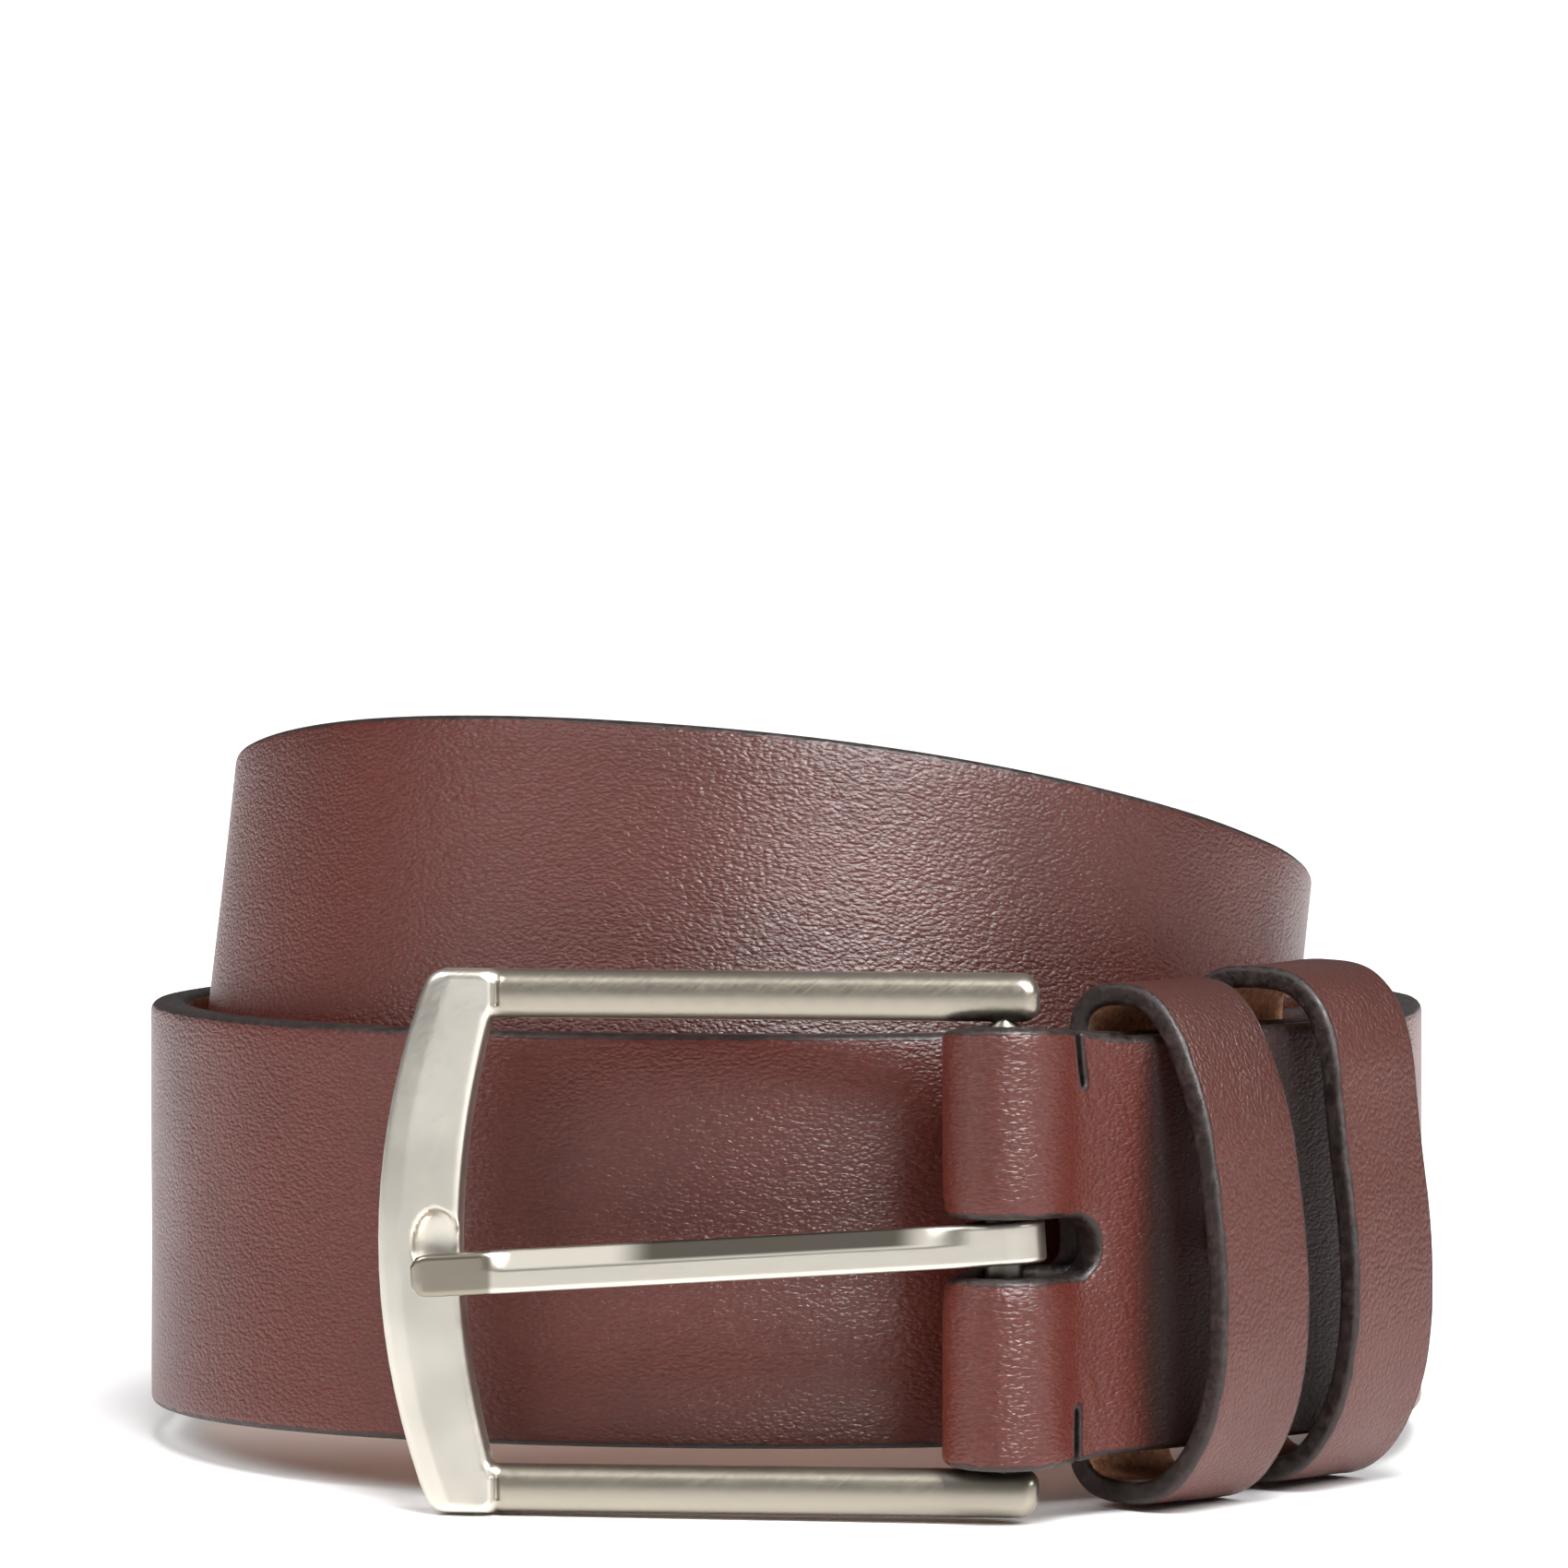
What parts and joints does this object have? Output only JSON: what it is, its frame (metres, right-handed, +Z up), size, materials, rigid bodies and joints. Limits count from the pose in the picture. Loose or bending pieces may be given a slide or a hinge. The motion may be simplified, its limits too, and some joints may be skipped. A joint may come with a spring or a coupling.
{
  "type": "leather belt",
  "caption": "Leather dress belt rolled up on its edge, with a satin heel-bar buckle, a prong and leather keepers.",
  "frame": {"origin": "centre of the footprint, on the surface the rolled belt stands on", "axes": "+Z up, the buckle's face towards -Y, the prong pointing to -X, the keepers towards +X"},
  "size_m": [0.1104, 0.1188, 0.0655],
  "materials": {
    "strap_leather": "smooth full grain, satin, dark painted edges",
    "keeper_leather": "smooth full grain, satin, dark painted edges",
    "satin_nickel": "satin brushed nickel plate",
    "sewing_thread": "waxed polyester thread"
  },
  "bodies": {
    "strap": {"main_strap": "strap_leather", "fixed_keeper": "keeper_leather", "fixed_keeper_staple": "satin_nickel", "turnback_rivet_post": "satin_nickel", "turnback_rivet_cap": "satin_nickel", "turnback_stitches": "sewing_thread"},
    "buckle": {"buckle_frame": "satin_nickel", "buckle_bar": "satin_nickel"},
    "prong": {"prong": "satin_nickel"},
    "loose_keeper": {"sliding_keeper": "keeper_leather", "sliding_keeper_staple": "satin_nickel"}
  },
  "joints": [
    {"name": "buckle_swing", "type": "hinge", "parent": "strap", "child": "buckle", "pos_m": [0.01825, -0.05339, 0.02335], "axis": [0, 0.0497, 0.9988], "range_deg": [-6, 80]},
    {"name": "prong_swing", "type": "hinge", "parent": "buckle", "child": "prong", "pos_m": [0.01825, -0.05339, 0.02335], "axis": [0, 0.0497, 0.9988], "range_deg": [0, 80]},
    {"name": "keeper_slide", "type": "slide", "parent": "strap", "child": "loose_keeper", "axis": [0.5821, 0.8121, -0.0404], "range_m": [-0.0045, 0.0025]}
  ]
}
